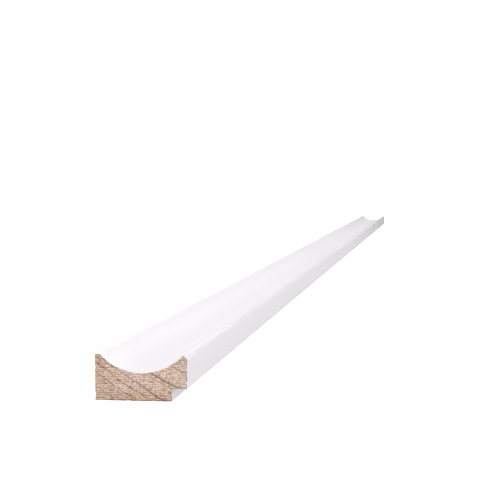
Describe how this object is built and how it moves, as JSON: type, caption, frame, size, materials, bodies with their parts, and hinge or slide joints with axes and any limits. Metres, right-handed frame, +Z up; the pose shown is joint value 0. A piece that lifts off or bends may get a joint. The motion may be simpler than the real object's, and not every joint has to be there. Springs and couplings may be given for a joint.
{
  "type": "trim moulding",
  "caption": "Straight white-painted pine trim moulding with a scooped face, a chamfered edge and a rebate under one side, cut square at both ends.",
  "frame": {"origin": "middle of the bounding box's underside: on the plane of the flat back, half way along the length and half way across the full width", "axes": "+Z up from the flat back to the scooped face, +Y along the length, +X across towards the chamfered and rebated side"},
  "size_m": [0.042, 2.1, 0.021],
  "materials": {
    "white_paint": "satin white paint on planed pine",
    "bare_pine": "bare sawn end grain of softwood"
  },
  "bodies": {
    "root": {"moulding": "white_paint"}
  },
  "joints": []
}
